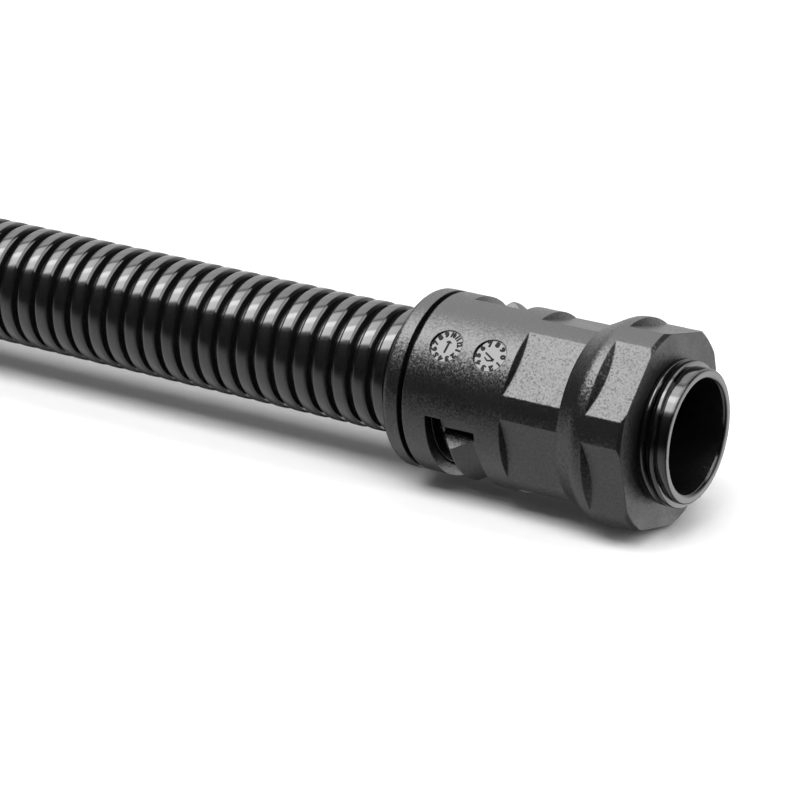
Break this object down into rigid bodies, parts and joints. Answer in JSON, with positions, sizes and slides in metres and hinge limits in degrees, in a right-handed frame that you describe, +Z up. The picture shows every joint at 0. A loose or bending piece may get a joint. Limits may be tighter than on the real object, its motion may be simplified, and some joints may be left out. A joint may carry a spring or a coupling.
{
  "type": "corrugated conduit",
  "caption": "Straight length of black corrugated conduit with a snap-in hexagon fitting and a short threaded spigot at one end.",
  "frame": {"origin": "centre of the flange's flat sealing face, on the conduit's axis, where the threaded spigot starts", "axes": "+X along the conduit's axis, out of the threaded end; +Z up as it lies in the picture, on the flange's round rim with the hexagon's flats 15 degrees from level; +Y completes the right-handed frame"},
  "size_m": [1.018, 0.0296, 0.0296],
  "materials": {
    "conduit_black": "smooth glossy black extruded polyamide",
    "moulded_body": "spark-eroded satin dark grey moulded polyamide, glossy on the threaded spigot",
    "moulded_ring": "spark-eroded satin dark grey moulded polyamide"
  },
  "bodies": {
    "root": {"corrugated_tube": "conduit_black", "fitting_body": "moulded_body", "snap_ring": "moulded_ring"}
  },
  "joints": []
}
